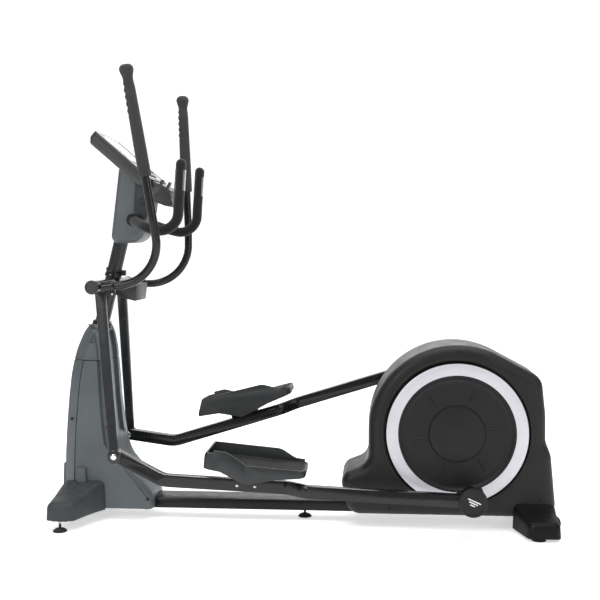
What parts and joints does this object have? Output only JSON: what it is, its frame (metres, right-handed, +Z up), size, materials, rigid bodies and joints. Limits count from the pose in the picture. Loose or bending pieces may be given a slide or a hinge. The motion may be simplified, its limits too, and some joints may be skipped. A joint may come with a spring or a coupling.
{
  "type": "elliptical trainer",
  "caption": "Rear-drive elliptical cross trainer with swinging handles, foot rails, round crank discs, a front column with console and a low base beam.",
  "frame": {"origin": "on the floor, under the middle of the machine's outline", "axes": "+X towards the rear (the housing), +Y to the user's right, +Z up; the user faces -X"},
  "size_m": [1.95, 0.6976, 1.7526],
  "materials": {
    "column_plastic": "satin slate grey moulding",
    "housing_plastic": "satin charcoal moulding",
    "disc_plastic": "satin black moulding",
    "frame_steel": "gloss black powder coat",
    "bright_steel": "ground steel",
    "chrome": "polished",
    "trim_silver": "satin silver paint",
    "grip_rubber": "matte moulded rubber",
    "foam": "matte foam",
    "pad_rubber": "ribbed matte rubber",
    "cast_iron": "machined",
    "belt_rubber": "ribbed belt",
    "console_plastic": "fine textured moulding",
    "screen": "gloss dark lens",
    "pedal_plastic": "satin slate grey moulding"
  },
  "bodies": {
    "frame": {"base_beam": "frame_steel", "front_cross_tube": "frame_steel", "rear_cross_tube": "frame_steel", "levelling_feet": "grip_rubber", "front_upright": "frame_steel", "axle_pillar": "frame_steel", "mast": "frame_steel", "mast_collar": "frame_steel", "pivot_shaft": "bright_steel", "accessory_holder": "console_plastic", "column_shell_left": "column_plastic", "column_shell_right": "column_plastic", "column_top_cap": "column_plastic", "column_nose_cover": "column_plastic", "front_foot_covers": "column_plastic", "rear_foot_covers": "housing_plastic", "neck_shell_left": "column_plastic", "neck_shell_right": "column_plastic", "console_back_shell": "console_plastic", "console_bezel": "console_plastic", "console_screen": "screen", "console_lower_panel": "console_plastic", "fixed_handlebar": "frame_steel", "handlebar_foam": "foam", "pulse_sensors": "chrome", "housing_shell_left": "housing_plastic", "housing_shell_right": "housing_plastic", "rear_pillar_cover": "housing_plastic", "crank_bearings": "bright_steel", "brake_unit": "cast_iron", "drive_belt": "belt_rubber"},
    "crank": {"crank_axle": "bright_steel", "drive_pulley": "cast_iron", "crank_arm_left": "frame_steel", "crank_arm_right": "frame_steel", "crank_disc_left": "disc_plastic", "crank_disc_right": "disc_plastic", "disc_trim_rings": "trim_silver", "disc_hub_caps": "disc_plastic"},
    "flywheel": {"flywheel": "cast_iron"},
    "left_swing": {"swing_arm_left": "frame_steel", "handle_arm_left": "frame_steel", "hand_grip_left": "grip_rubber", "pivot_cap_left": "console_plastic", "rail_bolt_left": "chrome"},
    "left_rail": {"foot_rail_left": "frame_steel", "pedal_left": "pedal_plastic", "pedal_pad_left": "pad_rubber", "crank_end_cap_left": "disc_plastic"},
    "left_transport_wheel": {"transport_wheel_left": "grip_rubber"},
    "right_swing": {"swing_arm_right": "frame_steel", "handle_arm_right": "frame_steel", "hand_grip_right": "grip_rubber", "pivot_cap_right": "console_plastic", "rail_bolt_right": "chrome"},
    "right_rail": {"foot_rail_right": "frame_steel", "pedal_right": "pedal_plastic", "pedal_pad_right": "pad_rubber", "crank_end_cap_right": "disc_plastic"},
    "right_transport_wheel": {"transport_wheel_right": "grip_rubber"}
  },
  "joints": [
    {"name": "left_swing_pivot", "type": "hinge", "parent": "frame", "child": "left_swing", "pos_m": [-0.789, 0, 0.93], "axis": [0, -1, 0], "range_deg": [-22.4, 16.1]},
    {"name": "right_swing_pivot", "type": "hinge", "parent": "frame", "child": "right_swing", "pos_m": [-0.789, 0, 0.93], "axis": [0, -1, 0], "range_deg": [-16.1, 22.4]},
    {"name": "left_rail_joint", "type": "hinge", "parent": "left_swing", "child": "left_rail", "pos_m": [-0.71246, -0.23, 0.28654], "axis": [0, -1, 0], "range_deg": [-16.1, 22.4]},
    {"name": "right_rail_joint", "type": "hinge", "parent": "right_swing", "child": "right_rail", "pos_m": [-0.77982, 0.23, 0.28207], "axis": [0, -1, 0], "range_deg": [-22.4, 16.1]},
    {"name": "crank_spin", "type": "hinge", "parent": "frame", "child": "crank", "pos_m": [0.587, 0, 0.373], "axis": [0, -1, 0], "continuous": true},
    {"name": "flywheel_spin", "type": "hinge", "parent": "frame", "child": "flywheel", "pos_m": [0.397, 0, 0.343], "axis": [0, -1, 0], "continuous": true},
    {"name": "left_transport_wheel_spin", "type": "hinge", "parent": "frame", "child": "left_transport_wheel", "pos_m": [0.944, -0.18, 0.043], "axis": [0, -1, 0], "continuous": true},
    {"name": "right_transport_wheel_spin", "type": "hinge", "parent": "frame", "child": "right_transport_wheel", "pos_m": [0.944, 0.18, 0.043], "axis": [0, -1, 0], "continuous": true}
  ],
  "couplings": [
    {"joint": "right_swing_pivot", "follows": "left_swing_pivot", "ratio": -1},
    {"joint": "left_rail_joint", "follows": "left_swing_pivot", "ratio": -1},
    {"joint": "right_rail_joint", "follows": "left_swing_pivot", "ratio": 1},
    {"joint": "flywheel_spin", "follows": "crank_spin", "ratio": 6}
  ]
}
